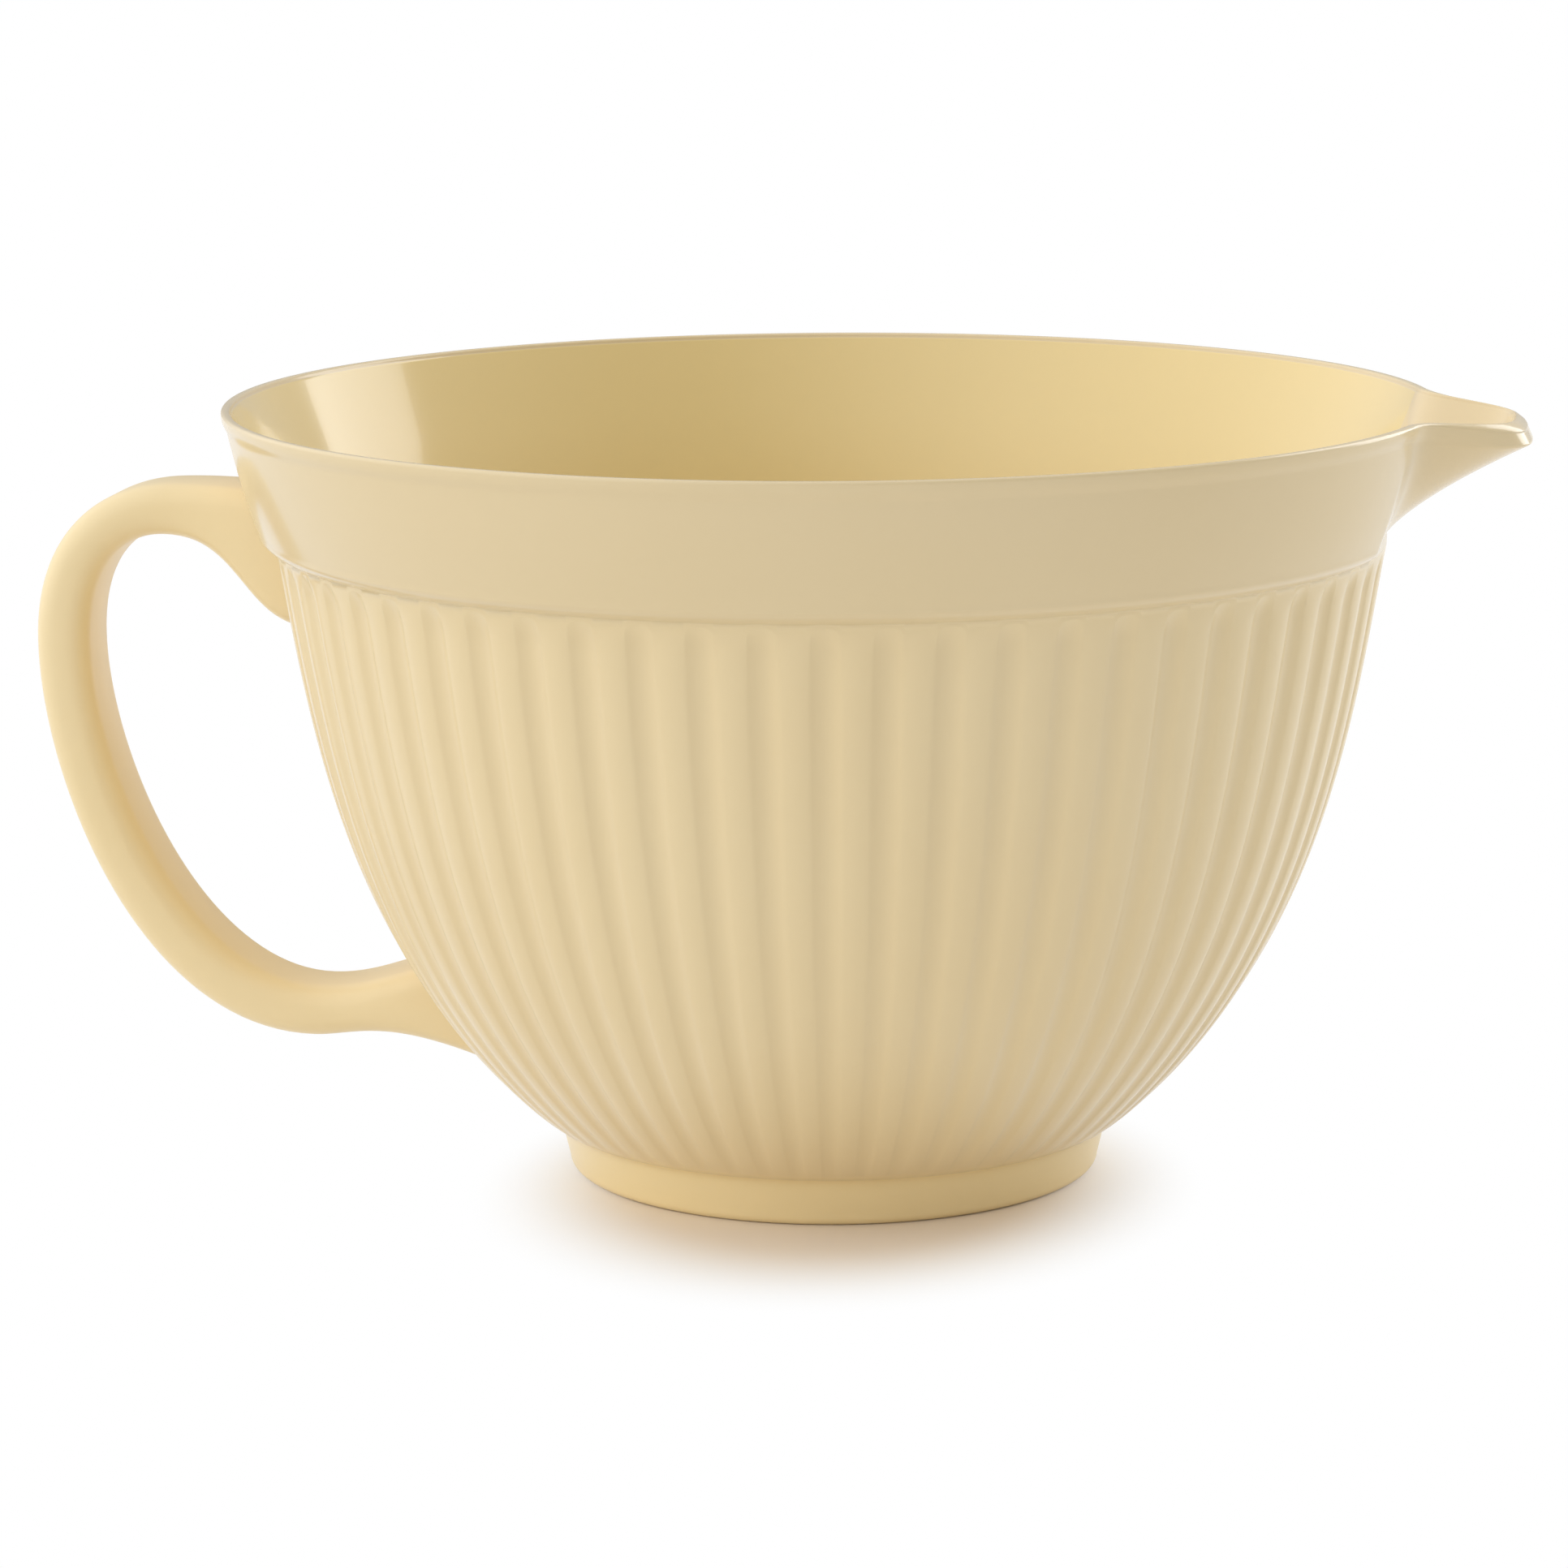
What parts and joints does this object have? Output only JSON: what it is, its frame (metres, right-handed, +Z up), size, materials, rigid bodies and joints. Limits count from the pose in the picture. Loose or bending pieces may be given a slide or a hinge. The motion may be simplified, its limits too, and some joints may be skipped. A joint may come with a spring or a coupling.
{
  "type": "mixing bowl with pouring spout and handle",
  "caption": "Deep batter bowl with a fluted wall on a foot ring, a plain collar and lip, a pouring spout and a loop handle opposite it.",
  "frame": {"origin": "centre of the foot ring on the plane the bowl rests on", "axes": "+X towards the spout and away from the handle, +Z up along the bowl's axis, +Y to the left of the spout"},
  "size_m": [0.2998, 0.24, 0.1545],
  "materials": {
    "fluted_shell": "moulded melamine, glossy, cream",
    "inner_shell": "moulded melamine, glossy, cream, smooth inside",
    "foot": "moulded melamine, glossy, cream, a little dulled where it rests",
    "collar": "moulded melamine, polished, cream",
    "lip": "moulded melamine, polished, cream",
    "spout": "moulded melamine, polished, cream",
    "handle": "moulded melamine, satin, cream"
  },
  "bodies": {
    "root": {"fluted_wall": "fluted_shell", "bowl_floor": "inner_shell", "foot_ring": "foot", "rim_collar": "collar", "rim_lip": "lip", "pouring_spout": "spout", "handle_upper_root": "handle", "handle_grip": "handle", "handle_lower_root": "handle"}
  },
  "joints": []
}
